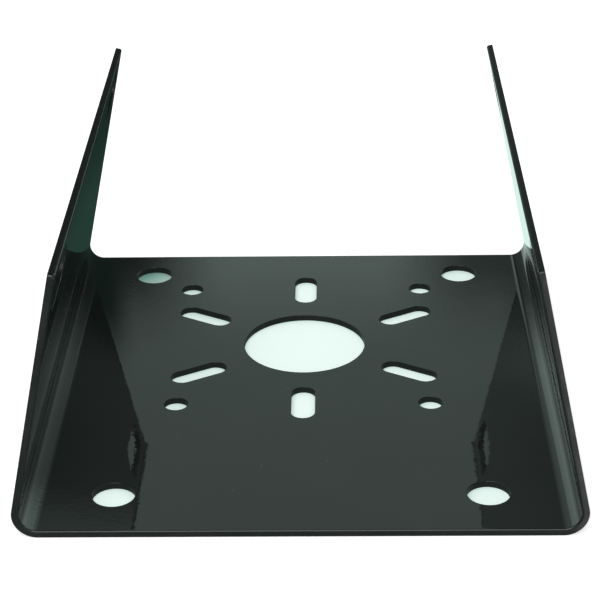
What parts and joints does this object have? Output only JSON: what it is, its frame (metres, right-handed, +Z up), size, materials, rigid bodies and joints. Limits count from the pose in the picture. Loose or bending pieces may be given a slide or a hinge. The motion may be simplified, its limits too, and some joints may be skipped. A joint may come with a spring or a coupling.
{
  "type": "camera pole mount bracket",
  "caption": "Folded steel channel bracket that is strapped to a pole and carries a camera on its flat plate, with bolt holes, radial slots and a cable hole.",
  "frame": {"origin": "centre of the plate's underside, at the bottom centre of the part's box", "axes": "+Z up from the plate between the flanges, +Y along the folds to the back edge nearest the cable hole, +X to the right"},
  "size_m": [0.2056, 0.2266, 0.105],
  "materials": {
    "black_paint": "gloss black paint on folded steel sheet"
  },
  "bodies": {
    "root": {"bracket": "black_paint"}
  },
  "joints": []
}
